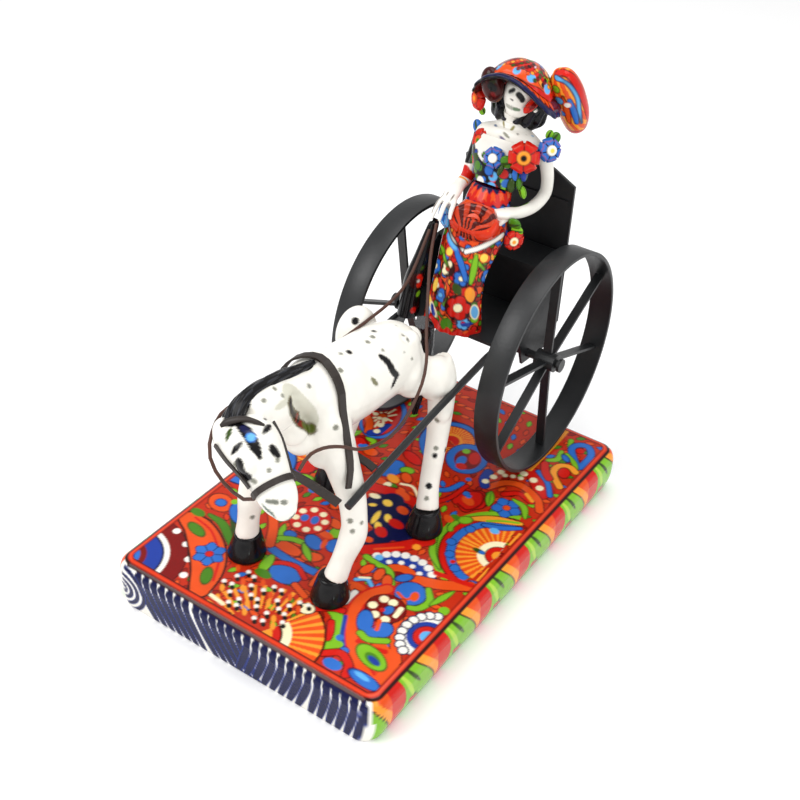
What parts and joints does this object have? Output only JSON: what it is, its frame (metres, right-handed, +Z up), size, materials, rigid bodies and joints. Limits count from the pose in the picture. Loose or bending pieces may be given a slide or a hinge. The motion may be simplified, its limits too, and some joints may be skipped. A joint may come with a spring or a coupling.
{
  "type": "catrina figure in a horse cart",
  "caption": "Seated skeleton lady in a flowered dress and hat driving a two-wheeled iron cart drawn by a glazed ceramic horse, all on a painted rectangular slab.",
  "frame": {"origin": "on the surface the slab stands on, under the middle of the whole object's footprint; the slab's own middle is 13 mm forward of it", "axes": "+X to the figure's own left, +Y from the horse towards the back of the cart, +Z up"},
  "size_m": [0.3, 0.521, 0.4445],
  "materials": {
    "white_glaze": "glossy white glaze with small painted marks",
    "black_glaze": "glossy black glaze",
    "floral_glaze": "glossy hand-painted floral glaze in orange, blue, green, yellow and white",
    "red_glaze": "glossy red and orange glaze",
    "blue_glaze": "glossy blue glaze with a white and yellow centre",
    "painted_iron": "charcoal painted wrought iron, satin",
    "dark_leather": "dark strap leather",
    "brown_cord": "brown braided cord"
  },
  "bodies": {
    "cart_and_horse": {"horse_torso": "white_glaze", "horse_neck": "white_glaze", "horse_head": "white_glaze", "horse_tail": "white_glaze", "horse_leg_front_left": "white_glaze", "horse_leg_front_right": "white_glaze", "horse_leg_rear_left": "white_glaze", "horse_leg_rear_right": "white_glaze", "chest_and_neck": "white_glaze", "skull": "white_glaze", "arm_left": "white_glaze", "arm_right": "white_glaze", "horse_mane": "black_glaze", "hoof_front_left": "black_glaze", "hoof_front_right": "black_glaze", "hoof_rear_left": "black_glaze", "hoof_rear_right": "black_glaze", "hair": "black_glaze", "dress_train": "black_glaze", "base_slab": "floral_glaze", "skirt": "floral_glaze", "bodice": "floral_glaze", "hat_brim": "floral_glaze", "hat_crown": "floral_glaze", "hand_bouquet": "floral_glaze", "waist_sash": "red_glaze", "lap_fan": "red_glaze", "hat_plume": "red_glaze", "shoulder_flower_right": "red_glaze", "bust_rose": "red_glaze", "ear_flower_left": "red_glaze", "ear_flower_right": "red_glaze", "shoulder_flower_left": "blue_glaze", "bust_flower": "blue_glaze", "wrist_flower": "blue_glaze", "axle": "painted_iron", "axle_end_left": "painted_iron", "axle_end_right": "painted_iron", "side_panel_left": "painted_iron", "side_panel_right": "painted_iron", "back_panel": "painted_iron", "back_slat": "painted_iron", "cart_floor": "painted_iron", "seat_front_panel": "painted_iron", "seat_board": "painted_iron", "shaft_left": "painted_iron", "shaft_right": "painted_iron", "back_strap": "dark_leather", "breast_strap": "dark_leather", "girth_strap": "dark_leather", "browband": "dark_leather", "noseband": "dark_leather", "cheek_strap_left": "dark_leather", "cheek_strap_right": "dark_leather", "rein_left": "brown_cord", "rein_right": "brown_cord"},
    "wheel_left": {"wheel_rim_left": "painted_iron", "wheel_spokes_left": "painted_iron"},
    "wheel_right": {"wheel_rim_right": "painted_iron", "wheel_spokes_right": "painted_iron"}
  },
  "joints": [
    {"name": "wheel_left_spin", "type": "hinge", "parent": "cart_and_horse", "child": "wheel_left", "pos_m": [0.083, 0.142, 0.166], "axis": [1, 0, 0], "continuous": true},
    {"name": "wheel_right_spin", "type": "hinge", "parent": "cart_and_horse", "child": "wheel_right", "pos_m": [-0.083, 0.142, 0.166], "axis": [1, 0, 0], "continuous": true}
  ]
}
